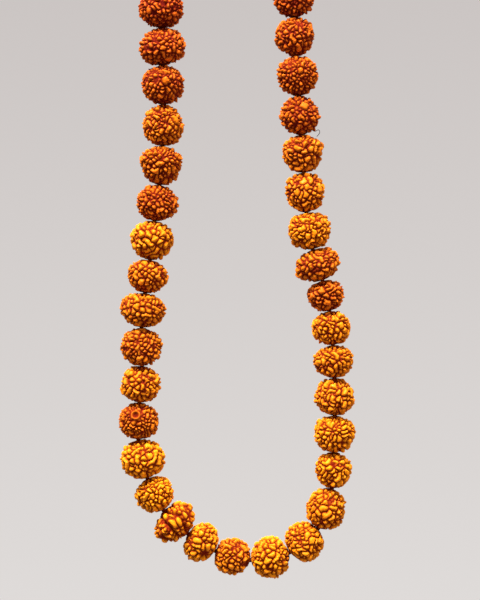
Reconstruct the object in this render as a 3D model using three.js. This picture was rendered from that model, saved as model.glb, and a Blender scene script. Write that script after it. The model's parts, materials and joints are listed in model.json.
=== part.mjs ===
// A mala of 54 rudraksha seed beads on one closed cord, hung over a peg.
// Both ends of the cord leave the loop between bead_01 and bead_54, run down through the guru
// bead and are tied into a knot that carries a tassel. Beads are numbered along the cord,
// starting at the guru bead and going over the peg first.
// Millimetres. +Z is up, the loop lies in the XZ plane, and the origin is the top of the peg.
import * as THREE from 'three';

// Driving dimensions
const archRadius = 13.2; // half of the spacing of the two strands where they come off the peg
const clearance = 0.3; // gap left between pieces that touch
const cordRadius = 0.45;
const boreRadius = 1.0;
const shoulderRadius = 1.2; // where two beads meet first when the strand bends
const archBeads = 3; // beads on each side of the peg, counted from its top
const archPitch = 7.95; // along the arch, where the inner shoulders of the beads touch
const plainBeads = 7; // beads on each straight run below the arch
const guruGap = 2.7; // extra room between bead_01 and bead_54 for both ends of the cord
const beadSides = 16;
const beadRows = 6;
const cordSides = 8;

// Guru bead, knot and tassel, which hang outside the loop beside bead_54
const guruX = -23.0;
const guruTop = -17.6;
const guruRadius = 4.8;
const guruLength = 9.0;
const guruBoreRadius = 1.5;
const cordSpacing = 1.2; // between the two ends of the cord where they run side by side
const knotRadius = 2.1;
const knotLength = 3.4;
const tasselCordRadius = 0.9;
const tasselCordLength = 5.6;
const bindingLength = 6.6;
const skirtLength = 19.6;

// Widths of the beads across the strand
const archWidth = 8.1;
const plainWidths = [8.2, 7.9, 8.3, 8.0, 8.4, 7.8, 8.1];
const rightWidths = [8.0, 7.6, 8.0, 7.8, 7.9, 7.6, 8.1, 8.5, 7.3, 7.3, 7.8, 7.8, 8.0, 7.0, 7.7, 7.8, 8.0];
const leftWidths = [9.0, 9.1, 8.4, 7.8, 8.1, 8.2, 8.3, 7.9, 8.8, 8.0, 7.7, 8.0, 8.4, 7.4, 9.0, 7.7, 7.1];

// The cord's route down the right side to the bottom, as [x, z] between one bead and the next
const rightRoute = [
  [13.4, -64.0], [13.4, -71.7], [13.8, -79.5], [14.3, -87.4], [14.8, -95.2], [15.4, -102.7],
  [15.8, -110.7], [17.1, -118.1], [19.1, -124.3], [20.5, -130.4], [21.2, -137.2], [21.5, -143.8],
  [21.6, -151.3], [21.3, -158.7], [21.1, -165.9], [18.4, -174.0], [12.6, -178.9], [4.7, -180.4],
];

// The same down the left side, ending at the bead before the bottom
const leftRoute = [
  [-13.2, -66.3], [-13.0, -73.8], [-12.9, -81.3], [-12.8, -89.1], [-12.9, -97.4], [-13.5, -105.2],
  [-14.5, -112.4], [-15.4, -120.2], [-16.4, -126.8], [-17.1, -133.7], [-17.0, -141.4],
  [-17.5, -148.7], [-17.8, -156.1], [-16.0, -163.9], [-12.8, -170.3], [-7.9, -175.0], [-2.4, -178.5],
];

// The cord's two ends between the loop and the guru bead, from the loop outwards
const upperExit = [
  [-13.45, -12.15], [-14.1, -12.35], [-17.5, -12.5], [-21.3, -13.3], [-23.2, -15.0], [-23.6, -17.0],
];
const lowerExit = [
  [-13.45, -13.8], [-14.1, -13.6], [-17.3, -13.7], [-20.6, -14.35], [-22.0, -15.6], [-22.4, -17.2],
];

const seedBrown = new THREE.MeshStandardMaterial({ name: 'seed', color: 0xb5651d, roughness: 0.45 });
const guruBrown = new THREE.MeshStandardMaterial({ name: 'guru_seed', color: 0x9a4a16, roughness: 0.45 });
const cordMaroon = new THREE.MeshStandardMaterial({ name: 'cord', color: 0x5a1414, roughness: 0.8 });
const tasselRed = new THREE.MeshStandardMaterial({ name: 'tassel', color: 0x8c1620, roughness: 0.85 });

const quarterArch = archRadius * Math.PI / 2;
const pegRadius = archRadius * Math.cos(archPitch / archRadius / 2) - archWidth / 2;
const archCentreZ = -pegRadius;

function vector([x, z]) {
  return new THREE.Vector3(x, 0, z);
}

// A point on the arch or just below it. side is 1 for the right and -1 for the left.
function archPoint(side, distance) {
  if (distance > quarterArch) {
    return new THREE.Vector3(side * archRadius, 0, archCentreZ - (distance - quarterArch));
  }
  const angle = distance / archRadius;
  const height = archCentreZ + archRadius * Math.cos(angle);
  return new THREE.Vector3(side * archRadius * Math.sin(angle), 0, height);
}

function evenPoints(from, to, count) {
  return Array.from({ length: count }, (_, i) => from.clone().lerp(to, i / count));
}

// The points where the cord passes from one bead to the next, in the beads' order
function loopPoints() {
  const points = [];
  for (let i = archBeads; i > -archBeads; i--) {
    points.push(archPoint(i > 0 ? -1 : 1, Math.abs(i) * archPitch));
  }
  const rightStart = archPoint(1, archBeads * archPitch);
  const leftEnd = archPoint(-1, archBeads * archPitch);
  leftEnd.z -= guruGap;
  const down = rightRoute.map(vector);
  const up = leftRoute.map(vector).reverse();
  points.push(...evenPoints(rightStart, down[0], plainBeads), ...down, ...up.slice(0, -1));
  points.push(...evenPoints(up.at(-1), leftEnd, plainBeads), leftEnd);
  return points;
}

// Closed outline of a bead: an elliptic barrel cut by its bore, or a whole ellipse without one
function barrelOutline(radius, length, bore, rows) {
  const tip = Math.acos(bore / radius);
  const outline = [];
  for (let i = 0; i <= rows; i++) {
    const angle = tip * (2 * i / rows - 1);
    const height = 0.5 * length * Math.sin(angle) / Math.sin(tip);
    outline.push(new THREE.Vector2(Math.max(radius * Math.cos(angle), bore), height));
  }
  if (bore > 0) {
    outline.push(outline[0].clone());
  } else {
    outline[0].x = 0;
    outline[rows].x = 0;
  }
  return outline;
}

// A solid turned about its own Z axis
function turned(name, outline, sides, material) {
  const geometry = new THREE.LatheGeometry(outline, sides);
  geometry.rotateX(Math.PI / 2);
  const mesh = new THREE.Mesh(geometry, material);
  mesh.name = name;
  return mesh;
}

function outlineFrom(pairs) {
  return pairs.map(([radius, height]) => new THREE.Vector2(radius, height));
}

// Half of the room that two beads need between them where the strand bends by an angle
function endTrim(before, after) {
  const halfBend = before.angleTo(after) / 2;
  return 0.5 * clearance / Math.cos(halfBend) + shoulderRadius * Math.tan(halfBend);
}

// Widths in the beads' order
function beadWidths() {
  const arch = Array(archBeads).fill(archWidth);
  const left = [...plainWidths, ...leftWidths].reverse();
  return [...arch, ...arch, ...plainWidths, ...rightWidths, ...left];
}

function addBeads(group, points) {
  const widths = beadWidths();
  const directions = widths.map((_, i) => points[i + 1].clone().sub(points[i]).normalize());
  widths.forEach((width, i) => {
    const direction = directions[i];
    const startTrim = endTrim(directions[i - 1] ?? direction, direction);
    const finishTrim = endTrim(direction, directions[i + 1] ?? direction);
    const length = points[i].distanceTo(points[i + 1]) - startTrim - finishTrim;
    const name = `bead_${String(i + 1).padStart(2, '0')}`;
    const outline = barrelOutline(width / 2, length, boreRadius, beadRows);
    const bead = turned(name, outline, beadSides, seedBrown);
    bead.position.copy(points[i]).addScaledVector(direction, startTrim + length / 2);
    bead.rotation.y = Math.atan2(direction.x, direction.z);
    group.add(bead);
  });
}

// A cord's path through a list of points, straight from each to the next, with a section at each
class CordPath extends THREE.Curve {
  constructor(points) {
    super();
    this.points = points;
  }

  getPointAt(u, target = new THREE.Vector3()) {
    const place = u * (this.points.length - 1);
    const index = Math.min(Math.floor(place), this.points.length - 2);
    return target.lerpVectors(this.points[index], this.points[index + 1], place - index);
  }

  getTangentAt(u, target = new THREE.Vector3()) {
    const last = this.points.length - 1;
    const index = Math.round(u * last);
    const here = this.points[index];
    const arriving = here.clone().sub(this.points[Math.max(index - 1, 0)]).normalize();
    const leaving = this.points[Math.min(index + 1, last)].clone().sub(here).normalize();
    return target.copy(arriving).add(leaving).normalize();
  }
}

function addCord(group, loop) {
  const lowEnd = guruTop - guruLength;
  const highEnd = vector([guruX - cordSpacing / 2, lowEnd]);
  const nearEnd = vector([guruX + cordSpacing / 2, lowEnd]);
  const entry = upperExit.map(vector).reverse();
  const exit = lowerExit.map(vector);
  const points = [highEnd, ...entry, ...loop, ...exit, nearEnd];
  const corners = Array.from({ length: cordSides }, (_, i) => {
    const angle = 2 * Math.PI * i / cordSides;
    return new THREE.Vector2(cordRadius * Math.cos(angle), cordRadius * Math.sin(angle));
  });
  const geometry = new THREE.ExtrudeGeometry(new THREE.Shape(corners), {
    steps: points.length - 1,
    extrudePath: new CordPath(points),
  });
  const cord = new THREE.Mesh(geometry, cordMaroon);
  cord.name = 'cord';
  group.add(cord);
}

// The guru bead and what hangs below it, each piece centred on the guru bead's axis
function addGuruDrop(group) {
  const drop = new THREE.Group();
  drop.position.x = guruX;
  group.add(drop);

  const guruOutline = barrelOutline(guruRadius, guruLength, guruBoreRadius, beadRows);
  const guru = turned('guru_bead', guruOutline, beadSides, guruBrown);
  guru.position.z = guruTop - guruLength / 2;
  drop.add(guru);

  const knotTop = guruTop - guruLength - clearance;
  const knotOutline = barrelOutline(knotRadius, knotLength, 0, beadRows);
  const knot = turned('guru_knot', knotOutline, beadSides, cordMaroon);
  knot.position.z = knotTop - knotLength / 2;
  drop.add(knot);

  const tasselCordTop = knotTop - knotLength - clearance;
  const tasselCordGeometry = new THREE.CylinderGeometry(
    tasselCordRadius, tasselCordRadius, tasselCordLength, cordSides,
  );
  tasselCordGeometry.rotateX(Math.PI / 2);
  const tasselCord = new THREE.Mesh(tasselCordGeometry, cordMaroon);
  tasselCord.name = 'tassel_cord';
  tasselCord.position.z = tasselCordTop - tasselCordLength / 2;
  drop.add(tasselCord);

  const bindingTop = tasselCordTop - tasselCordLength - clearance;
  const bindingOutline = outlineFrom([
    [0, -bindingLength], [2.1, -bindingLength], [2.1, -4.2], [2.6, -2.8], [2.4, -1.3], [1.3, 0], [0, 0],
  ]);
  const binding = turned('tassel_binding', bindingOutline, beadSides, tasselRed);
  binding.position.z = bindingTop;
  drop.add(binding);

  const skirtOutline = outlineFrom([
    [0, -skirtLength], [3.6, -skirtLength], [3.4, -12], [2.9, -5], [2.0, 0], [0, 0],
  ]);
  const skirt = turned('tassel_skirt', skirtOutline, beadSides, tasselRed);
  skirt.position.z = bindingTop - bindingLength - clearance;
  drop.add(skirt);
}

const group = new THREE.Group();
const loop = loopPoints();
addBeads(group, loop);
addCord(group, loop);
addGuruDrop(group);

export default group;
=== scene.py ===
"""The looks of a rudraksha mala: 54 seeds covered in nodules, threaded on a twisted cord, with a
guru bead and a tassel."""
import json
import math

import bpy
import numpy as np
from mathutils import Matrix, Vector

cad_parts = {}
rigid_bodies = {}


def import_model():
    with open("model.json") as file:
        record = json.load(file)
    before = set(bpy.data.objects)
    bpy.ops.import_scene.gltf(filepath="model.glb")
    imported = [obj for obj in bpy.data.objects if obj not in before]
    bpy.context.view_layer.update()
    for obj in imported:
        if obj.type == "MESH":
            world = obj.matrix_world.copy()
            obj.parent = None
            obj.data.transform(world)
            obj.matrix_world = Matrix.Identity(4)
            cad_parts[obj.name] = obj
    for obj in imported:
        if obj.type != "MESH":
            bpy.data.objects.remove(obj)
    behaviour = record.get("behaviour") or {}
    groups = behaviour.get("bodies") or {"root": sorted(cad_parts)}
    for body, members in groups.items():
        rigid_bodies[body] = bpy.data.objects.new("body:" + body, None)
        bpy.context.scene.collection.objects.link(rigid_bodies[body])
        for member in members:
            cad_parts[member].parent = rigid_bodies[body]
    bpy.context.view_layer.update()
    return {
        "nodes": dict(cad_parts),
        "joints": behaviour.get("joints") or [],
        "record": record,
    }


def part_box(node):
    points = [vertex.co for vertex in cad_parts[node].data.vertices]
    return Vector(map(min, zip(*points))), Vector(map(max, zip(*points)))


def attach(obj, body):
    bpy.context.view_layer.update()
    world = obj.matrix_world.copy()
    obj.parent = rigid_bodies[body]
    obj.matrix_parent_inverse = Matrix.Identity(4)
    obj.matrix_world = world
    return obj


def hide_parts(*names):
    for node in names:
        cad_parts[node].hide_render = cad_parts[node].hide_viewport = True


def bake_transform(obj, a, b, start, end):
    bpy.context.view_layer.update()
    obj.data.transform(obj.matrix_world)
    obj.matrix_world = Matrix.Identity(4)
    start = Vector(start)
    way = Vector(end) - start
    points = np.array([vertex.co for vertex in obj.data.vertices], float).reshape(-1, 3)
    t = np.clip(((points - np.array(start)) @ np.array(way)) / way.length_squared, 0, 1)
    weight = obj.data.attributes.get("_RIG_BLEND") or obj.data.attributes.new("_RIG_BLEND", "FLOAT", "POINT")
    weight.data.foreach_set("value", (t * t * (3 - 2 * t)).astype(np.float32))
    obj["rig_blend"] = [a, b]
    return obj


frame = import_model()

MM = 0.001
GOLDEN_ANGLE = math.pi * (3 - math.sqrt(5))

# Beads are numbered along the cord from the guru bead: over the peg, down the right side to the
# lowest one, and then up the left side. A fold joint lies between two beads on the right and two
# on the left.
BEAD_COUNT = 54
PEG_BEADS = 6
FOLD_COUNT = 24
LOWEST_BEAD = PEG_BEADS + FOLD_COUNT
BORE_RADIUS = 0.62
CORD_RADIUS = 0.45

# Camera

PICTURE_CENTRE = (2.6, 0.0, -128.2)  # the point in the loop's plane that the camera faces
PICTURE_HEIGHT = 120.0  # how much of that plane it sees, from bottom to top
LENS = 100.0
SENSOR = 36.0
CLIP_START = 0.01  # in metres


def make_camera():
    camera = bpy.data.objects.new("camera", bpy.data.cameras.new("camera"))
    bpy.context.scene.collection.objects.link(camera)
    camera.data.lens = LENS
    camera.data.sensor_width = SENSOR
    distance = PICTURE_HEIGHT * LENS / SENSOR
    x, y, z = PICTURE_CENTRE
    camera.location = (x * MM, (y - distance) * MM, z * MM)
    camera.rotation_euler = (math.pi / 2, 0, 0)
    camera.data.clip_start = CLIP_START
    bpy.context.scene.camera = camera


make_camera()
bpy.context.scene.view_settings.view_transform = "Standard"

# What the CAD model says. From here on all lengths are in millimetres until a mesh is made.

joints = {joint["name"]: joint for joint in frame["joints"]}
body_of_node = {
    node: body for body, nodes in frame["record"]["behaviour"]["bodies"].items() for node in nodes
}


def unit(vector):
    vector = np.asarray(vector, float)
    return vector / np.linalg.norm(vector, axis=-1, keepdims=True)


def joint_place(name):
    return np.array(joints[name]["pos_m"]) / MM


def node_box(node):
    """A node's lowest and highest corners, and its middle."""
    low, high = (np.array(corner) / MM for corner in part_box(node))
    return low, high, (low + high) / 2


class Bead:
    """Where a drilled CAD bead is: its middle, the direction of its bore, its length and its width."""

    def __init__(self, node, axis=None):
        self.node = node
        self.body = body_of_node[node]
        self.vertices = np.array([v.co for v in frame["nodes"][node].data.vertices]) / MM
        self.middle = (self.vertices.min(0) + self.vertices.max(0)) / 2
        if axis is not None:
            self.set_axis(axis)

    def set_axis(self, axis):
        self.axis = unit(axis)
        along = (self.vertices - self.middle) @ self.axis
        across = self.vertices - self.middle - np.outer(along, self.axis)
        self.length = along.max() - along.min()
        self.width = 2 * np.linalg.norm(across, axis=1).max()

    def end(self, side):
        return self.middle + side * self.axis * self.length / 2


# The two beads at the top of the peg don't turn, so no joint tells their direction. Each is the
# mirror image of a neighbour.
MIRRORED_BEADS = {3: 2, 4: 5}


def find_beads():
    found = {}
    for number in range(1, BEAD_COUNT + 1):
        bead = Bead(f"bead_{number:02d}")
        if f"spin_{number:02d}" in joints:
            bead.set_axis(joints[f"spin_{number:02d}"]["axis"])
        elif number > LOWEST_BEAD:
            bead.set_axis(joint_place(f"fold_{BEAD_COUNT + 1 - number:02d}") - bead.middle)
        found[number] = bead
    for number, neighbour in MIRRORED_BEADS.items():
        line = unit(found[number].middle - found[neighbour].middle)
        axis = found[neighbour].axis
        found[number].set_axis(2 * (axis @ line) * line - axis)
    return found


beads = find_beads()
guru = Bead("guru_bead", (0, 0, 1))


def gap_after(number):
    """The point between a bead and the next, where the cord shows."""
    return (beads[number].end(1) + beads[number + 1].end(-1)) / 2


# Meshes


def grid_faces(rows, columns, closed, first):
    """Quads of a grid whose columns close into rings, and its rows too if it is closed."""
    faces = []
    for row in range(rows if closed else rows - 1):
        here = first + row * columns
        there = first + (row + 1) % rows * columns
        for column in range(columns):
            beside = (column + 1) % columns
            faces.append((here + column, here + beside, there + beside, there + column))
    return faces


class Parts:
    """Collects grids into one mesh. An attribute is a number for each of its points."""

    def __init__(self):
        self.vertices = []
        self.faces = []
        self.attributes = {}

    def add_rings(self, rings, closed=False, **attributes):
        rows, columns = rings.shape[:2]
        first = sum(len(v) for v in self.vertices)
        self.vertices.append(rings.reshape(-1, 3))
        self.faces += grid_faces(rows, columns, closed, first)
        if not closed:
            last = first + (rows - 1) * columns
            self.faces.append(tuple(range(first, first + columns))[::-1])
            self.faces.append(tuple(range(last, last + columns)))
        for key, values in attributes.items():
            flat = np.broadcast_to(values, (rows, columns)).reshape(-1)
            self.attributes.setdefault(key, []).append(flat)

    def make(self, name, material):
        mesh = bpy.data.meshes.new(name)
        mesh.from_pydata((np.concatenate(self.vertices) * MM).tolist(), [], self.faces)
        for key, values in self.attributes.items():
            layer = mesh.attributes.new(key, "FLOAT", "POINT")
            layer.data.foreach_set("value", np.concatenate(values).astype(np.float32))
        mesh.shade_smooth()
        mesh.materials.append(material)
        piece = bpy.data.objects.new(name, mesh)
        bpy.context.scene.collection.objects.link(piece)
        return piece


def piece_of_rings(name, material, slot, rings, closed=False, **attributes):
    parts = Parts()
    parts.add_rings(rings, closed, **attributes)
    return parts.make(name, material)


# Materials

MIX_COLOURS = (6, 7)  # a Mix node's two colour inputs
MIX_RESULT = 2


class Nodes:
    """The nodes of a material or of the world, added and linked in one line each."""

    def __init__(self, owner):
        owner.use_nodes = True
        self.owner = owner
        self.tree = owner.node_tree

    def feed(self, socket, value):
        if isinstance(value, bpy.types.NodeSocket):
            self.tree.links.new(value, socket)
        else:
            socket.default_value = value

    def node(self, kind, inputs=(), **settings):
        node = self.tree.nodes.new("ShaderNode" + kind)
        for key, value in settings.items():
            setattr(node, key, value)
        for key, value in dict(inputs).items():
            self.feed(node.inputs[key], value)
        return node

    def place(self, output):
        return self.node("TexCoord").outputs[output]

    def ramp(self, value, stops):
        node = self.node("ValToRGB", {"Fac": value})
        elements = node.color_ramp.elements
        while len(elements) < len(stops):
            elements.new(0.5)
        for element, (position, colour) in zip(elements, stops):
            element.position = position
            element.color = (*colour, 1)
        return node.outputs["Color"]

    def scaled(self, value, low, high, from_low=0.0, from_high=1.0):
        inputs = {
            "Value": value, "From Min": from_low, "From Max": from_high, "To Min": low, "To Max": high,
        }
        return self.node("MapRange", inputs).outputs["Result"]

    def maths(self, operation, first, second):
        return self.node("Math", {0: first, 1: second}, operation=operation).outputs["Value"]

    def mix(self, blend, share, first, second):
        inputs = {"Factor": share, MIX_COLOURS[0]: first, MIX_COLOURS[1]: second}
        return self.node("Mix", inputs, data_type="RGBA", blend_type=blend).outputs[MIX_RESULT]


class Material(Nodes):
    def __init__(self, name):
        super().__init__(bpy.data.materials.new(name))
        self.shader = self.tree.nodes["Principled BSDF"]

    def shade(self, **inputs):
        for key, value in inputs.items():
            self.feed(self.shader.inputs[key.replace("_", " ")], value)

    def attribute(self, name):
        return self.node("Attribute", attribute_name=name).outputs["Fac"]

    def noise(self, scale, detail=3.0):
        inputs = {"Vector": self.place("Object"), "Scale": scale, "Detail": detail, "Roughness": 0.55}
        return self.node("TexNoise", inputs).outputs["Fac"]

    def bump(self, height, distance, strength, under=None):
        """Bumps up to that distance high, on top of others where there are any under them."""
        inputs = {"Height": height, "Distance": distance * MM, "Strength": strength}
        if under is not None:
            inputs["Normal"] = under
        return self.node("Bump", inputs).outputs["Normal"]


# What a seed's colours are multiplied by, where it is at its darkest, at its brightest and in specks; the
# darkest seeds are partly painted shade
DARKEST_SEED = (0.58, 0.24, 0.4)
BRIGHTEST_SEED = (1.0, 1.0, 0.7)
SPECK = (0.22, 0.045, 0.008, 1)


def seed_material(name, deep, groove, middle, bright, top):
    """Nodules that are golden on top and dark red-brown between, oiled by handling; partly the seed's own
    colour, partly a painted highlight on the tops and painted shade in the grooves.
    """
    m = Material(name)
    relief = m.attribute("relief")
    mottle = m.noise(1400)
    gloss_patches = m.noise(3000)
    skin = m.noise(2600)
    grain = m.noise(7000, detail=4)
    level = m.maths("ADD", relief, m.scaled(mottle, -0.12, 0.12))
    level = m.maths("ADD", level, m.scaled(m.attribute("tone"), -0.06, 0.06))
    # The colours by relief: the dark grooves are partly painted shade and the golden tops partly a painted
    # highlight
    stops = [(0.0, deep), (0.24, groove), (0.5, middle), (0.78, bright), (1.0, top)]
    # Each seed's brightness: partly its own colour, partly painted shade that darkens the seeds higher up
    tint_and_shade = m.ramp(m.attribute("tint_and_shade"), [(0.0, DARKEST_SEED), (1.0, BRIGHTEST_SEED)])
    colour = m.mix("MULTIPLY", 1.0, m.ramp(level, stops), tint_and_shade)
    specks = m.scaled(m.noise(5200, detail=2), 0.0, 0.5, 0.56, 0.72)
    colour = m.mix("MULTIPLY", specks, colour, SPECK)
    rough = m.maths("ADD", m.scaled(relief, 0.95, 0.4), m.scaled(gloss_patches, -0.08, 0.10))
    bumps = m.bump(skin, 0.07, 0.55, under=m.bump(grain, 0.03, 0.6))
    m.shade(Base_Color=colour, Roughness=rough, Normal=bumps, Specular_IOR_Level=0.08)
    return m.owner


def fibre_material(name, dark, light, sheen):
    """Spun thread: fine streaks along its plies, matt, with a little fuzz, and painted shade between the
    plies.
    """
    m = Material(name)
    streak = m.noise(3800, detail=4)
    patch = m.noise(600, detail=2)
    fuzz = m.noise(9000)
    level = m.maths("ADD", m.scaled(streak, 0.0, 0.75), m.scaled(patch, 0.0, 0.3))
    # Darker between the plies and threads: painted shade
    level = m.maths("MULTIPLY", level, m.scaled(m.attribute("groove"), 0.35, 1.0))
    middle = tuple((a + b) / 2 for a, b in zip(dark, light))
    colour = m.ramp(level, [(0.0, dark), (0.5, middle), (1.0, light)])
    m.shade(Base_Color=colour, Roughness=m.scaled(streak, 0.7, 0.95), Normal=m.bump(fuzz, 0.03, 0.7))
    m.shade(Sheen_Weight=sheen, Sheen_Roughness=0.4, Specular_IOR_Level=0.15)
    return m.owner


# Seed colours from the deepest groove to the nodule tops: partly the seed's own colour, partly painted shade
# in the grooves and a painted highlight on the tops
SEED = seed_material(
    "rudraksha",
    deep=(0.12, 0.005, 0.0002),
    groove=(0.25, 0.032, 0.0003),
    middle=(0.50, 0.150, 0.001),
    bright=(0.66, 0.225, 0.003),
    top=(0.80, 0.235, 0.006),
)
GURU = seed_material(
    "rudraksha_dark",
    deep=(0.015, 0.003, 0.001),
    groove=(0.08, 0.014, 0.003),
    middle=(0.28, 0.06, 0.008),
    bright=(0.55, 0.17, 0.016),
    top=(0.72, 0.29, 0.03),
)
CORD = fibre_material("cord_thread", (0.02, 0.002, 0.003), (0.16, 0.010, 0.012), sheen=0.02)
TASSEL = fibre_material("tassel_thread", (0.07, 0.002, 0.004), (0.40, 0.012, 0.018), sheen=0.04)
STRAY = fibre_material("stray_thread", (0.008, 0.005, 0.006), (0.035, 0.022, 0.03), sheen=0.02)

# Seeds: the grid of points

ROWS = 108  # along the outside of a bead, from one end of its bore to the other
BORE_ROWS = 4
COLUMNS = 192
PROFILE_STEPS = 601  # from a bead's middle towards each pole, before the rows are placed
ALMOST_POLE = 0.499  # where those steps end, in half turns
FIRST_DRAW = 1000  # a bead's own random numbers start from this and its number

# Seeds: outline

END_FULLNESS = 2.3  # with 2 a seed's outline is an ellipse, and with more its ends are flatter
SIDE_FULLNESS = 2.1  # and with more than 2 here its sides are straighter
END_REACH = 0.10  # how far each end stands out of its CAD bead, into the gap
TAPER_SCALE = 2.6  # makes a taper the largest share by which it changes the width
NODULES_PROUD = 0.13  # out of the CAD bead's side
RIM_WIDTH = 1.3  # round each end of the bore, where the nodules die out
SHADED_RIM_WIDTH = 2.3  # and where the seed is darkened with painted shade from the neighbouring bead

# Seeds: nodules

NODULE_SPACING = 0.85
NODULE_DENSITY = 1.1  # in each square of that size
UNEVENNESS = 0.24  # of their places, in spacings
SIZE_SPREAD = 0.10
GROOVE_DEPTH = 0.62
GROUND_LEVEL = 0.8  # the relief that lies on the outline
ROUND_TOP = 0.9  # how far from its centre a nodule's top rounds off, in spacings
FLATTEST_TOP = 0.1
LIFT_SPREAD = 0.11  # of the nodules' own heights
WARP = 0.12  # how far the grooves wander
WARP_SIZE = 1.3
NEIGHBOURS = 3  # the nearest nodules, one of which a nodule may be joined to
LONGEST_RIDGE = 4  # nodules
RIDGE_WAIST = 0.04  # how much thinner a ridge is between two of them
SWELL = 0.07  # the whole seed's own lumps
SWELL_SIZE = 4.5

# Seeds: furrows from pole to pole

MUKHI = 5  # how many a seed has
FURROW_DEPTH = 0.3
FURROW_WIDTH = 0.24
LEAST_STRENGTH = 0.6  # below which furrows get no narrower
FURROW_WOBBLE = 0.13  # in radians
NODULES_CUT = 0.8  # how much lower the nodules are in the deepest furrows


def smooth_noise(points, rng, size, waves=10):
    """A smooth field over space from -1 to 1, whose lumps are about that size."""
    directions = unit(rng.normal(size=(waves, 3)))
    rates = rng.uniform(0.6, 1.5, waves) * math.pi / size
    phases = rng.uniform(0, 2 * math.pi, waves)
    total = np.sin(points @ (directions * rates[:, None]).T + phases).sum(1)
    return total / math.sqrt(waves)


def dome(share):
    """A nodule's cross-section: 0 at its edge, rising to a rounded top at 1."""
    return np.sin(np.clip(share, 0, 1) * math.pi / 2)


class Outline:
    """The outside of a bead: distance from the axis, height and outward direction, in even steps."""

    def __init__(self, radius, length, bends, taper):
        angle = np.linspace(0, ALMOST_POLE, PROFILE_STEPS) * math.pi
        halves = []
        for bend in bends:
            distance = radius * np.cos(angle) ** (2 / END_FULLNESS)
            height = np.sin(angle) ** (2 / SIDE_FULLNESS)
            outside = distance >= BORE_RADIUS
            reach = length / 2 + END_REACH + BORE_RADIUS * math.tan(bend / 2)
            halves.append((distance[outside], height[outside] / height[outside][-1], reach))
        (first, low, low_reach), (second, high, high_reach) = halves
        distance = np.concatenate([first[::-1], second[1:]])
        level = np.concatenate([-low[::-1], high[1:]])
        distance = distance * (1 + taper * level * (1 - level ** 2) * TAPER_SCALE)
        height = np.concatenate([-low[::-1] * low_reach, high[1:] * high_reach])
        steps = np.hypot(np.diff(distance), np.diff(height))
        arc = np.concatenate([[0], np.cumsum(steps)])
        self.arc = np.linspace(0, arc[-1], ROWS)
        self.distance = np.interp(self.arc, arc, distance)
        self.height = np.interp(self.arc, arc, height)
        run = np.gradient(self.distance, self.arc)
        rise = np.gradient(self.height, self.arc)
        self.out = unit(np.stack([rise, -run], axis=1))
        bands = (self.distance[1:] + self.distance[:-1]) * np.diff(self.arc) * math.pi
        self.area = np.concatenate([[0], np.cumsum(bands)])

    def scatter(self, rng, spacing):
        """Irregularly spaced points all over the outside."""
        count = round(self.area[-1] / spacing ** 2 * NODULE_DENSITY)
        share = (np.arange(count) + 0.5) / count * self.area[-1]
        arc = np.interp(share, self.area, self.arc) + rng.normal(0, UNEVENNESS * spacing, count)
        arc = np.clip(arc, 0, self.arc[-1])
        distance = np.interp(arc, self.arc, self.distance)
        off_angle = rng.normal(0, UNEVENNESS * spacing, count) / distance
        angle = np.arange(count) * GOLDEN_ANGLE + off_angle
        height = np.interp(arc, self.arc, self.height)
        return np.stack([distance * np.cos(angle), distance * np.sin(angle), height], axis=1)

    def off_bore(self, width):
        """0 for the points at the ends of the bore, rising to 1 at that distance from it."""
        share = np.clip((self.distance - BORE_RADIUS) / width, 0, 1)
        return share[:, None].repeat(COLUMNS, 1).reshape(-1)


def swept(distance, height, around):
    """The points of rings at those distances from the axis and at those heights."""
    flat = distance[:, None, None] * around[None]
    rise = np.broadcast_to(height[:, None, None], (*flat.shape[:2], 1))
    return np.concatenate([flat, rise], axis=2).reshape(-1, 3)


def join_nodules(points, sizes, rng, share):
    """Joins some neighbouring points into winding groups, with one more point in each join. Returns
    all points, their sizes and their groups."""
    group = np.arange(len(points))
    apart = np.linalg.norm(points[:, None] - points[None], axis=2)
    neighbours = apart.argsort(axis=1)[:, 1:NEIGHBOURS + 1]
    joins = []
    for point in rng.permutation(len(points)):
        if rng.random() > share:
            continue
        other = neighbours[point, rng.integers(NEIGHBOURS)]
        joined = (group == group[point]) | (group == group[other])
        if group[point] != group[other] and joined.sum() <= LONGEST_RIDGE:
            group[joined] = group[point]
            joins.append((point, other))
    one, two = np.array(joins).T
    points = np.concatenate([points, (points[one] + points[two]) / 2])
    sizes = np.concatenate([sizes, (sizes[one] + sizes[two]) / 2 - RIDGE_WAIST])
    return points, sizes, np.concatenate([group, group[one]])


def cell_edges(points, centres, sizes, group):
    """How far each point is inside its own group of cells, how far it is from the nearest centre, and
    which centre that is."""
    squares = (points ** 2).sum(1)[:, None] + (centres ** 2).sum(1)[None] - 2 * points @ centres.T
    apart = np.sqrt(np.maximum(squares, 0)) - sizes[None]
    own = apart.argmin(1)
    every = np.arange(len(points))
    nearest = apart[every, own]
    others = np.where(group[None] == group[own][:, None], np.inf, apart).min(1)
    return others - nearest, nearest, own


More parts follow.
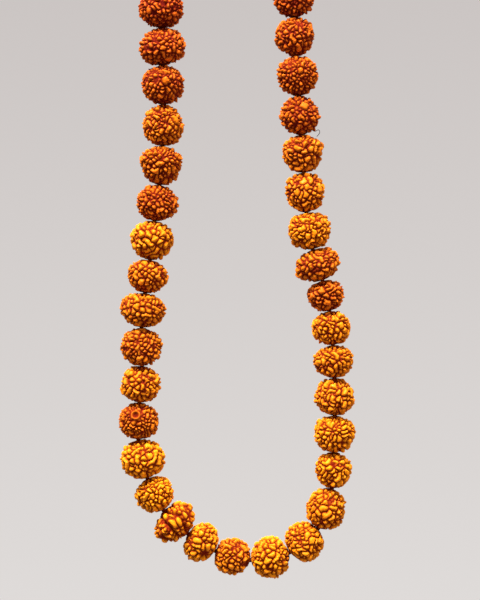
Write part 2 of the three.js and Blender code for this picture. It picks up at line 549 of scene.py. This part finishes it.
def nodules(base, outline, rng, odd, tint_and_shade):
    """How high each point is on its nodule, from 0 in a groove to 1 on top, the number of its nodule,
    and how many nodules there are. The golden seeds have larger ones, more of them joined."""
    spacing = NODULE_SPACING * odd.get("coarse", rng.uniform(0.9, 1.1) + 0.1 * tint_and_shade)
    stretch = np.array((1, 1, odd.get("ridged", 1)))
    centres = outline.scatter(rng, spacing)
    centres = centres[rng.random(len(centres)) < stretch[2]] * stretch
    sizes = rng.normal(0, SIZE_SPREAD, len(centres))
    joined = odd.get("joined", rng.uniform(0.1, 0.4) + 0.45 * tint_and_shade)
    centres, sizes, group = join_nodules(centres, sizes, rng, joined)
    warp = np.stack([smooth_noise(base, rng, WARP_SIZE) for _ in range(3)], axis=1)
    edge, nearest, own = cell_edges((base + WARP * warp) * stretch, centres, sizes, group)
    off_top = np.maximum(nearest, 0) / (ROUND_TOP * spacing)
    round_top = np.sqrt(np.clip(1 - off_top ** 2, FLATTEST_TOP, 1))
    groove_width = 0.10 - 0.06 * tint_and_shade
    slope_width = (0.98 - 0.12 * tint_and_shade) * spacing
    relief = dome((edge - groove_width) / slope_width) * round_top
    return relief, group[own], len(centres)


def furrows(outline, angle, rng, odd):
    """How far down in a furrow each point is, from 0 to 1, and how strong the seed's furrows are."""
    strength = odd.get("furrow", rng.uniform(0.2, 0.75))
    count = odd.get("furrows", MUKHI)
    phase = rng.uniform(0, 2 * math.pi)
    wobble = FURROW_WOBBLE * np.sin(outline.height * rng.uniform(0.7, 1.2) + rng.uniform(0, 6))
    place = (angle[None] + wobble[:, None] + phase) * count / (2 * math.pi)
    off_furrow = np.abs(place - np.round(place)) * 2 * math.pi / count * outline.distance[:, None]
    valley = np.exp(-(off_furrow / (FURROW_WIDTH * max(strength, LEAST_STRENGTH))) ** 2).reshape(-1)
    return valley, strength


# What makes single beads odd. Directions are as in the picture: right, towards us, up. Each lobe has a
# direction, a sharpness and a height. A pit is the direction of a round scar. Coarse is the nodules'
# spacing and joined the share of them in ridges. Ridged, below 1, stretches them along the cord. Furrow
# is how strong the furrows are, and furrows how many there are.
ODD_BEADS = {
    20: {"lobes": [((0.8, 0, 0.5), 5, 0.25), ((-0.8, 0, 0.5), 5, 0.2)]},
    21: {"lobes": [((-0.85, 0.1, -0.5), 6, 0.3), ((0.85, 0.1, 0.5), 6, 0.35)]},
    33: {"furrows": 9, "furrow": 1.8, "ridged": 0.5, "coarse": 0.85, "joined": 0.35},
    34: {"coarse": 0.9},
    35: {"coarse": 1.3},
    36: {"pit": (-0.1, 0.95, 0.35), "coarse": 0.85},
    39: {"lobes": [((-0.75, 0.2, 0.6), 8, 0.3)]},
}
TAPERS = {43: 0.08, 18: -0.06}  # wider towards the next bead where positive

# The round scar: a ring with a hollow in it, on ground that has no nodules
SCAR_RADIUS = 1.7
SCAR_RING = 0.8
SCAR_RING_WIDTH = 0.25
SCAR_HOLLOW = 0.5


def from_picture(direction):
    return unit(np.array(direction) * (1, -1, 1))


def scarred(relief, height, off_scar):
    """The relief and height of points at those distances from the middle of a scar."""
    ring = np.exp(-((off_scar - SCAR_RING) / SCAR_RING_WIDTH) ** 2)
    scar = np.exp(-(off_scar / SCAR_RADIUS) ** 4)
    hollow = np.exp(-(off_scar / SCAR_HOLLOW) ** 2)
    height = height * (1 - scar) + scar * (0.4 * ring - 0.35 * hollow - 0.1)
    relief = np.clip(relief * (1 - 0.9 * scar) + scar * (0.4 * ring + 0.05), 0, 1)
    return relief, height


# The CAD model's gap between two beads, where they meet first when the strand bends, and half of the
# angle by which a fold bends it, with a little to spare
CLEARANCE = 0.3
SHOULDER_RADIUS = 1.2
HALF_FOLD = math.radians(max(joints["fold_01"]["range_deg"])) / 2 + 0.002


def cut_ends(points, length, bends):
    """Cuts a bead's ends back to cones, which leave room for the next bead when the strand folds."""
    from_axis = np.hypot(points[:, 0], points[:, 1])
    for end, bend in zip((-1, 1), bends):
        half_gap = CLEARANCE / 2 / math.cos(bend / 2) + SHOULDER_RADIUS * math.tan(bend / 2)
        slope = math.hypot(math.tan(bend / 2), math.tan(HALF_FOLD))
        limit = length / 2 + half_gap - slope * from_axis
        points[:, 2] = end * np.minimum(end * points[:, 2], limit)


def seed_shape(bead, rng, odd, taper, bends, tint_and_shade):
    """Points and attributes of a drilled seed covered in nodules, as a closed grid around its bore."""
    side = unit(np.cross((0, 1, 0), bead.axis))
    turn = np.stack([side, (0, 1, 0), bead.axis])
    radius = bead.width / 2 + NODULES_PROUD
    outline = Outline(radius, bead.length, bends, taper)
    angle = np.arange(COLUMNS) * 2 * math.pi / COLUMNS
    around = np.stack([np.cos(angle), np.sin(angle)], axis=1)
    base = swept(outline.distance, outline.height, around)
    out = swept(outline.out[:, 0], outline.out[:, 1], around)

    relief, nodule, count = nodules(base, outline, rng, odd, tint_and_shade)
    valley, strength = furrows(outline, angle, rng, odd)
    relief = relief * (1 - NODULES_CUT * min(strength, 1) * valley)
    lift = rng.normal(0, LIFT_SPREAD, count)[nodule]
    height = GROOVE_DEPTH * (relief - GROUND_LEVEL) + lift * relief - FURROW_DEPTH * strength * valley
    facing = unit(base @ turn)
    swell = SWELL * smooth_noise(base, rng, SWELL_SIZE)
    for direction, sharpness, amount in odd.get("lobes", []):
        swell = swell + amount * np.exp(sharpness * (facing @ from_picture(direction) - 1))
    if "pit" in odd:
        off_scar = np.arccos(np.clip(facing @ from_picture(odd["pit"]), -1, 1)) * radius
        relief, height = scarred(relief, height, off_scar)
    rim = outline.off_bore(RIM_WIDTH)
    rim = rim * rim * (3 - 2 * rim)
    placed = base + out * ((height + swell) * rim)[:, None]
    placed[:, 2] = np.clip(placed[:, 2], outline.height[0], outline.height[-1])
    cut_ends(placed, bead.length, bends)

    inner = np.linspace(outline.height[-1], outline.height[0], BORE_ROWS + 2)[1:-1]
    bore = swept(np.full(BORE_ROWS, BORE_RADIUS), inner, around)
    points = np.concatenate([placed, bore]) @ turn + bead.middle
    # The bore's inside takes the deepest colour and the seed darkens towards each end of the bore: painted
    # shade where the beads meet
    dark = np.zeros(BORE_ROWS * COLUMNS)
    relief = np.clip(relief * (0.5 + 0.5 * outline.off_bore(SHADED_RIM_WIDTH)), 0, 1)
    tone = rng.random(count)[nodule]
    shape = (ROWS + BORE_ROWS, COLUMNS)
    attributes = {
        "relief": np.concatenate([relief, dark]).reshape(shape),
        "tone": np.concatenate([tone, dark + 0.5]).reshape(shape),
        "tint_and_shade": np.full(shape, tint_and_shade),
    }
    return points.reshape(*shape, 3), attributes


# Brightness of each seed that the picture shows, from 0 (red-brown) to 1 (golden), by its number.
# The others are among the darker ones.
# These are partly each seed's own colour and partly painted shade: the seeds higher up are mostly darker.
TINTS_AND_SHADE = {
    14: 0.15, 15: 0.22, 16: 0.28, 17: 0.25, 18: 0.5, 19: 0.6, 20: 0.75, 21: 0.45, 22: 0.3,
    23: 0.8, 24: 0.72, 25: 0.75, 26: 0.9, 27: 0.95, 28: 0.78, 29: 0.85, 30: 0.95, 31: 0.65,
    32: 0.9, 33: 0.9, 34: 1.0, 35: 0.95, 36: 0.45, 37: 0.72, 38: 0.5, 39: 0.62, 40: 0.58,
    41: 0.85, 42: 0.3, 43: 0.4, 44: 0.5, 45: 0.27, 46: 0.2, 47: 0.13,
}


def bend_between(number, other):
    """The angle between two beads' bores, or 0 where there is no other bead."""
    if number not in beads or other not in beads:
        return 0.0
    return math.acos(min(1.0, abs(beads[number].axis @ beads[other].axis)))


def make_seed(bead, name, number, material, slot):
    rng = np.random.default_rng(FIRST_DRAW + number)
    odd = ODD_BEADS.get(number, {})
    taper = TAPERS.get(number, rng.uniform(-0.04, 0.04))
    bends = (bend_between(number, number - 1), bend_between(number, number + 1))
    tint_and_shade = TINTS_AND_SHADE.get(number, rng.uniform(0.05, 0.35))
    rings, attributes = seed_shape(bead, rng, odd, taper, bends, tint_and_shade)
    piece = piece_of_rings(name, material, slot, rings, closed=True, **attributes)
    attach(piece, bead.body)
    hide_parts(bead.node)


for number, bead in beads.items():
    make_seed(bead, f"seed_{number:02d}", number, SEED, "seed")
make_seed(guru, "seed_guru", 0, GURU, "guru_seed")

# Cord and threads

PLY_DEPTH = 0.24  # of the grooves between plies, as a share of a cord's radius
PLY_ROUNDNESS = 0.8
CORD_STEP = 0.28
CORD_ROUNDING = 1.6  # the length over which a corner of the cord's path is rounded
ROUNDING_SAMPLES = 9
FOLD_REACH = 0.6  # how far on each side of a fold joint the cord bends

# The cord's two ends on their way from the loop to the guru bead, as x and z
UPPER_EXIT = [
    (-13.45, -12.15), (-14.1, -12.35), (-17.5, -12.5), (-21.3, -13.3), (-23.2, -15.0), (-23.6, -17.0),
]
LOWER_EXIT = [
    (-13.45, -13.8), (-14.1, -13.6), (-17.3, -13.7), (-20.6, -14.35), (-22.0, -15.6), (-22.4, -17.2),
]
EXIT_DEPTH = 0.15  # from the face of the first or last bead to where an end leaves the strand
CORD_SPACING = 1.2  # between the two ends inside the guru bead
PAST_GURU = 1.2  # how far they come out below it, into the knot
SWING_START = (-14.5 * MM, 0, -13 * MM)  # where they begin and end to follow the guru bead, in metres
SWING_END = (-22 * MM, 0, -13 * MM)


def even_path(points, step, rounding):
    """A path through the points in even steps, its corners rounded over that length."""
    points = np.asarray(points, float)
    arc = np.concatenate([[0], np.cumsum(np.linalg.norm(np.diff(points, axis=0), axis=1))])
    count = max(2, round(arc[-1] / step) + 1)
    places = np.linspace(0, arc[-1], count)
    offsets = np.linspace(-0.5, 0.5, ROUNDING_SAMPLES) * rounding
    reach = np.minimum(np.minimum(places, arc[-1] - places) * 2, rounding)
    share = reach / rounding if rounding else np.zeros(count)
    samples = places[:, None] + offsets[None] * share[:, None]
    return np.stack([np.interp(samples, arc, points[:, k]).mean(1) for k in range(3)], axis=1)


def twisted_tube(path, radius, reference, plies=3, pitch=2.6, sides=18, closed=False):
    """Rings of a cord along a path, and how far out each point is, from 0 between two plies to 1."""
    if closed:
        ahead = unit(np.roll(path, -1, axis=0) - np.roll(path, 1, axis=0))
    else:
        ahead = unit(np.gradient(path, axis=0))
    reference = np.broadcast_to(reference, path.shape)
    normal = unit(reference - (reference * ahead).sum(1)[:, None] * ahead)
    beside = np.cross(ahead, normal)
    steps = np.linalg.norm(np.diff(path, axis=0), axis=1)
    arc = np.concatenate([[0], np.cumsum(steps)])
    angle = np.arange(sides) * 2 * math.pi / sides
    lobes = np.abs(np.cos(plies / 2 * (angle[None] - 2 * math.pi * arc[:, None] / pitch)))
    distance = radius * (1 - PLY_DEPTH + PLY_DEPTH * lobes ** PLY_ROUNDNESS)
    spokes = (
        normal[:, None] * np.cos(angle)[None, :, None] + beside[:, None] * np.sin(angle)[None, :, None]
    )
    return path[:, None] + spokes * distance[:, :, None], lobes


def cord_piece(name, runs):
    parts = Parts()
    for points in runs:
        rings, lobes = twisted_tube(even_path(points, CORD_STEP, CORD_ROUNDING), CORD_RADIUS, (0, 1, 0))
        parts.add_rings(rings, groove=lobes)
    piece = parts.make(name, CORD)
    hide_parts("cord")
    return piece


def in_plane(points):
    return [np.array([x, 0.0, z]) for x, z in points]


def make_cord():
    """The cord over the peg, a piece for each fold with the gaps right and left, the piece at the
    bottom, and both ends down to the knot."""
    upper = in_plane(UPPER_EXIT)
    lower = in_plane(LOWER_EXIT)
    first, last = beads[1], beads[BEAD_COUNT]
    first_gap = first.end(-1) - EXIT_DEPTH * first.axis
    last_gap = last.end(1) + EXIT_DEPTH * last.axis
    gaps = [gap_after(number) for number in range(1, PEG_BEADS)]
    arch = [upper[1], upper[0], first_gap, *gaps, beads[PEG_BEADS].middle]
    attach(cord_piece("cord_arch", [arch]), "peg_beads")

    for level in range(1, FOLD_COUNT + 1):
        above = PEG_BEADS - 1 + level
        right = [beads[above].middle, gap_after(above), beads[above + 1].middle]
        if level == 1:
            left = [lower[1], lower[0], last_gap, last.middle]
        else:
            below = BEAD_COUNT + 1 - level
            left = [beads[below + 1].middle, gap_after(below), beads[below].middle]
        piece = cord_piece(f"cord_gap_{level:02d}", [right, left])
        joint = joints[f"fold_{level:02d}"]
        down = unit(np.cross(joint["axis"], (0, 1, 0)))
        down = down * -np.sign(down[2])
        place = joint_place(f"fold_{level:02d}")
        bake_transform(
            piece, joint["parent"], joint["child"],
            start=(place - FOLD_REACH * down) * MM, end=(place + FOLD_REACH * down) * MM,
        )

    lowest = [beads[LOWEST_BEAD].middle, gap_after(LOWEST_BEAD), beads[LOWEST_BEAD + 1].middle]
    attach(cord_piece("cord_bottom", [lowest]), "rung_24")

    bottom = guru.end(-1)[2] - PAST_GURU
    outer = upper[1:] + in_plane([(guru.middle[0] - CORD_SPACING / 2, bottom)])
    inner = lower[1:] + in_plane([(guru.middle[0] + CORD_SPACING / 2, bottom)])
    drop = cord_piece("cord_guru_drop", [outer, inner])
    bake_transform(drop, "peg_beads", "guru_drop", start=SWING_START, end=SWING_END)


make_cord()

# Knot

KNOT_THREAD_RADIUS = 0.52
KNOT_SWING = 0.5  # how far the thread winds in and out of its ring
KNOT_STEPS = 260
KNOT_TWISTS = 12


def make_knot():
    """An overhand knot, drawn as a trefoil that fills the CAD knot's box."""
    low, high, middle = node_box("guru_knot")
    ring = (high[0] - low[0]) / 2 - KNOT_THREAD_RADIUS - KNOT_SWING
    rise = (high[2] - low[2]) / 2 - KNOT_THREAD_RADIUS
    t = np.linspace(0, 2 * math.pi, KNOT_STEPS + 1)[:-1]
    out = ring + KNOT_SWING * np.cos(3 * t)
    path = np.stack([out * np.cos(2 * t), out * np.sin(2 * t), rise * np.sin(3 * t)], axis=1)
    core = np.stack([ring * np.cos(2 * t), ring * np.sin(2 * t), 0 * t], axis=1)
    length = np.linalg.norm(np.diff(path, axis=0, append=path[:1]), axis=1).sum()
    rings, lobes = twisted_tube(
        path + middle, KNOT_THREAD_RADIUS, path - core, pitch=length / KNOT_TWISTS, closed=True,
    )
    piece = piece_of_rings("knot_guru", CORD, "cord", rings, closed=True, groove=lobes)
    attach(piece, "guru_drop")
    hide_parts("guru_knot")


# Tassel cord

STRAND_OFFSET = 0.44  # of each of its two strands from its middle
STRAND_LAY = 3.4  # the length of one turn of the strands round each other
STRAND_PITCH = 1.9
INTO_KNOT = 0.9
INTO_HEAD = 1.0
HALF_STEPS = 30
JOINT_REACH = 1.0  # how far above and below each joint the cord bends


def make_tassel_cord():
    """Two cord ends laid round each other. Each half of their length bends at its own joint."""
    low, high, middle = node_box("tassel_cord")
    heights = np.linspace(high[2] + INTO_KNOT, low[2] - INTO_HEAD, 2 * HALF_STEPS + 1)
    turn = (heights[0] - heights) * 2 * math.pi / STRAND_LAY
    halves = {"top": slice(0, HALF_STEPS + 1), "foot": slice(HALF_STEPS, None)}
    made = {}
    for half, span in halves.items():
        parts = Parts()
        for start in (0, math.pi):
            around = np.stack([np.cos(turn + start), np.sin(turn + start), 0 * turn], axis=1)
            path = around * STRAND_OFFSET + np.stack([0 * turn + middle[0], 0 * turn, heights], axis=1)
            rings, lobes = twisted_tube(path, CORD_RADIUS, around, pitch=STRAND_PITCH)
            parts.add_rings(rings[span], groove=lobes[span])
        made[half] = parts.make(f"cord_tassel_{half}", CORD)
        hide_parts("tassel_cord")
    for half, joint in (("top", "tassel_swing"), ("foot", "tassel_sway")):
        place = joint_place(joint)
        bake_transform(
            made[half], joints[joint]["parent"], joints[joint]["child"],
            start=(place + (0, 0, JOINT_REACH)) * MM, end=(place - (0, 0, JOINT_REACH)) * MM,
        )


# Tassel

HEAD_SIDES = 168
HEAD_ROWS = 61
HEAD_THREADS = 30
# The head's radius at each height below its top
HEAD_HEIGHTS = (-0.02, -0.35, -0.8, -1.3, -2.0, -2.8, -3.5, -4.1, -4.4, -5.4, -6.6)
HEAD_RADII = (0.25, 1.35, 1.95, 2.3, 2.5, 2.5, 2.35, 2.05, 1.8, 1.75, 1.75)

WRAP_TURNS = 8
WRAP_STEPS = 48  # in each turn
WRAP_RADIUS = 1.87
WRAP_TOP = 4.35  # below the head's top
WRAP_PITCH = 0.27
WRAP_THREAD_RADIUS = 0.19
WRAP_THREAD_TWIST = 0.9

SKIRT_THREADS = 120
SKIRT_THREAD_TWIST = 1.5
SKIRT_THREAD_RADIUS = 0.27
SKIRT_THREAD_STEP = 0.5
SKIRT_THREAD_POINTS = 34
SKIRT_INSET = 0.3  # of the outermost threads from the side of the CAD skirt
SKIRT_FLARE = 1.8  # how early the threads spread
SHORTEST = 1.3  # how much shorter than the longest thread the shortest one is
SKIRT_DRAW = 77  # the start of the skirt's random numbers
SKIRT_TOP_RADIUS = 1.45
INTO_WRAP = 0.9


def round_line(x, distance, angle, height):
    """Points round the upright line at x: that far from it, at that angle and at that height."""
    right = x + distance * np.cos(angle)
    back = distance * np.sin(angle)
    return np.stack([right, back, np.broadcast_to(height, right.shape)], axis=-1)


def make_wrap(x, top):
    """The thread wound round the tassel's neck."""
    t = np.linspace(0, WRAP_TURNS * 2 * math.pi, WRAP_TURNS * WRAP_STEPS)
    coil = round_line(x, WRAP_RADIUS, t, top - WRAP_TOP - t / (2 * math.pi) * WRAP_PITCH)
    outwards = (coil - (x, 0, 0)) * (1, 1, 0)
    rings, lobes = twisted_tube(
        coil, WRAP_THREAD_RADIUS, outwards, plies=2, pitch=WRAP_THREAD_TWIST, sides=10,
    )
    piece = piece_of_rings("tassel_wrap", CORD, "cord", rings, groove=lobes)
    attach(piece, "tassel")
    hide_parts("tassel_binding")


def make_head(x, top):
    """The threads folded over the tassel cord, a little uneven, above the wrapped neck."""
    angle = np.arange(HEAD_SIDES) * 2 * math.pi / HEAD_SIDES
    corners = np.arange(len(HEAD_HEIGHTS))
    fine = np.linspace(0, len(HEAD_HEIGHTS) - 1, HEAD_ROWS)
    down = np.interp(fine, corners, HEAD_HEIGHTS)
    wide = np.interp(fine, corners, HEAD_RADII)
    sway = 0.10 * np.sin(down * 1.3 + 1)
    crest = np.abs(np.sin(HEAD_THREADS / 2 * (angle[None] + sway[:, None])))
    uneven = 0.05 * np.sin(3 * angle + 1)[None] + 0.04 * np.sin(7 * angle)[None]
    distance = wide[:, None] * (0.9 + 0.09 * crest) + uneven * np.minimum(wide, 1)[:, None]
    rings = round_line(x, distance, angle[None], top + down[:, None])
    piece = piece_of_rings("tassel_head", TASSEL, "tassel", rings, groove=crest)
    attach(piece, "tassel")
    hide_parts("tassel_binding")


def make_skirt(x):
    """The tassel's loose threads, spread evenly over its round and a little wavy."""
    rng = np.random.default_rng(SKIRT_DRAW)
    low, high, _ = node_box("tassel_skirt")
    start = high[2] + INTO_WRAP
    bottom_radius = (high[0] - low[0]) / 2 - SKIRT_INSET
    skirt = Parts()
    for thread in range(SKIRT_THREADS):
        out = math.sqrt((thread + 0.5) / SKIRT_THREADS)
        around = thread * GOLDEN_ANGLE + rng.normal(0, 0.08)
        finish = low[2] + 0.15 + rng.uniform(0, SHORTEST)
        down = np.linspace(0, 1, SKIRT_THREAD_POINTS)
        flare = 1 - (1 - down) ** SKIRT_FLARE
        spread = SKIRT_TOP_RADIUS + (bottom_radius - SKIRT_TOP_RADIUS) * flare
        wave = 0.16 * np.sin(down * rng.uniform(5, 9) + rng.uniform(0, 6)) * down
        swing = 0.07 * np.sin(down * rng.uniform(4, 8) + rng.uniform(0, 6)) * down
        distance = np.minimum(out * spread + wave, spread)
        path = round_line(x, distance, around + swing, start + (finish - start) * down)
        path = even_path(path, SKIRT_THREAD_STEP, rounding=0)
        rings, lobes = twisted_tube(
            path, SKIRT_THREAD_RADIUS, (0, 1, 0.01), plies=2, pitch=SKIRT_THREAD_TWIST, sides=10,
        )
        skirt.add_rings(rings, groove=lobes)
    piece = skirt.make("tassel_threads", TASSEL)
    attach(piece, "tassel")
    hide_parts("tassel_skirt")


def make_tassel():
    _, high, middle = node_box("tassel_binding")
    make_wrap(middle[0], high[2])
    make_head(middle[0], high[2])
    make_skirt(middle[0])


# Loose thread end

STRAY_GAP = 17  # it shows beside the gap after this bead
STRAY_RADIUS = 0.065
STRAY_TWIST = 0.6
STRAY_FORWARD = 0.6  # how far in front of the gap's middle it starts
# Its way out of the gap, as x and z from the gap's middle
STRAY_ROUTE = [
    (0.5, -0.1), (1.4, 0.6), (2.1, 1.1), (2.75, 0.55), (3.05, 0.7), (3.35, 1.1), (3.8, 0.65),
    (3.6, 0.1), (3.1, -0.4),
]


def make_stray_thread():
    gap = gap_after(STRAY_GAP)
    points = [gap + (x, -STRAY_FORWARD - 0.1 * x, z) for x, z in STRAY_ROUTE]
    path = even_path(even_path(points, step=0.1, rounding=0.6), step=0.08, rounding=0.4)
    rings, lobes = twisted_tube(path, STRAY_RADIUS, (0, 1, 0), plies=2, pitch=STRAY_TWIST, sides=8)
    piece = piece_of_rings("stray_thread", STRAY, "cord", rings, groove=lobes)
    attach(piece, "rung_11")


make_knot()
make_tassel_cord()
make_tassel()
make_stray_thread()

# Backdrop, floor and lights

# Colours by height: -1 is straight down, 0 level and 1 straight up
SURROUNDING_LIGHT = [
    (-1.0, (0.16, 0.11, 0.085)),
    (-0.2, (0.46, 0.34, 0.28)),
    (0.1, (0.52, 0.43, 0.38)),
    (0.5, (0.50, 0.49, 0.48)),
    (1.0, (1.0, 0.99, 0.97)),
]
BACKDROP = [
    (-0.5, (0.62, 0.6, 0.59)),
    (-0.178, (0.737, 0.708, 0.694)),
    (0.178, (0.597, 0.558, 0.546)),
    (0.5, (0.57, 0.54, 0.53)),
]
FLOOR_RADIUS = 1800
FLOOR_DEPTH = 1100  # below the top of the peg
FLOOR_SEGMENTS = 96
FLOOR_GLOW = 0.22
STRAND_MIDDLE = (2, 0, -120)  # where the lights in front point


def height_ramp(nodes, height, stops):
    return nodes.ramp(height, [((level + 1) / 2, colour) for level, colour in stops])


def make_backdrop():
    """A pale backdrop that is a little brighter below, and a soft light of its own, mostly from above."""
    world = bpy.data.worlds.new("studio")
    bpy.context.scene.world = world
    nodes = Nodes(world)
    up = nodes.node("SeparateXYZ", {0: nodes.place("Generated")}).outputs["Z"]
    height = nodes.scaled(up, 0, 1, -1, 1)
    light = height_ramp(nodes, height, SURROUNDING_LIGHT)
    seen = height_ramp(nodes, height, BACKDROP)
    direct = nodes.node("LightPath").outputs["Is Camera Ray"]
    background = nodes.tree.nodes["Background"]
    nodes.feed(background.inputs["Color"], nodes.mix("MIX", direct, light, seen))


def make_floor():
    angle = np.arange(FLOOR_SEGMENTS) * 2 * math.pi / FLOOR_SEGMENTS
    rim = round_line(0, FLOOR_RADIUS, angle, -FLOOR_DEPTH)
    mesh = bpy.data.meshes.new("floor")
    mesh.from_pydata((rim * MM).tolist(), [], [tuple(range(FLOOR_SEGMENTS))])
    m = Material("floor_paper")
    colour = m.ramp(m.noise(3, detail=2), [(0.3, (0.36, 0.35, 0.34)), (0.7, (0.39, 0.38, 0.37))])
    m.shade(Base_Color=colour, Roughness=0.9, Normal=m.bump(m.noise(900), 0.2, 0.2))
    m.shade(Emission_Color=(1.0, 0.97, 0.95, 1), Emission_Strength=FLOOR_GLOW)
    mesh.materials.append(m.owner)
    floor = bpy.data.objects.new("floor", mesh)
    bpy.context.scene.collection.objects.link(floor)


def add_light(name, place, target, size, power, colour, glossy=True):
    data = bpy.data.lights.new(name, "AREA")
    data.shape = "DISK"
    data.size = size * MM
    data.energy = power
    data.color = colour
    light = bpy.data.objects.new(name, data)
    bpy.context.scene.collection.objects.link(light)
    light.visible_glossy = glossy
    light.location = np.array(place) * MM
    toward = np.array(target, float) - np.array(place, float)
    light.rotation_euler = (
        math.atan2(math.hypot(toward[0], toward[1]), -toward[2]), 0,
        math.atan2(toward[1], toward[0]) - math.pi / 2,
    )


make_backdrop()
make_floor()
add_light("key", (-130, -270, 430), STRAND_MIDDLE, size=240, power=18.0, colour=(1.0, 0.97, 0.92))
add_light("fill", (420, -380, 60), STRAND_MIDDLE, size=420, power=1.5, colour=(1.0, 0.94, 0.88))
add_light(
    "back", (60, 520, 240), (0, 0, -100), size=300, power=10.0, colour=(1.0, 0.98, 0.95), glossy=False,
)
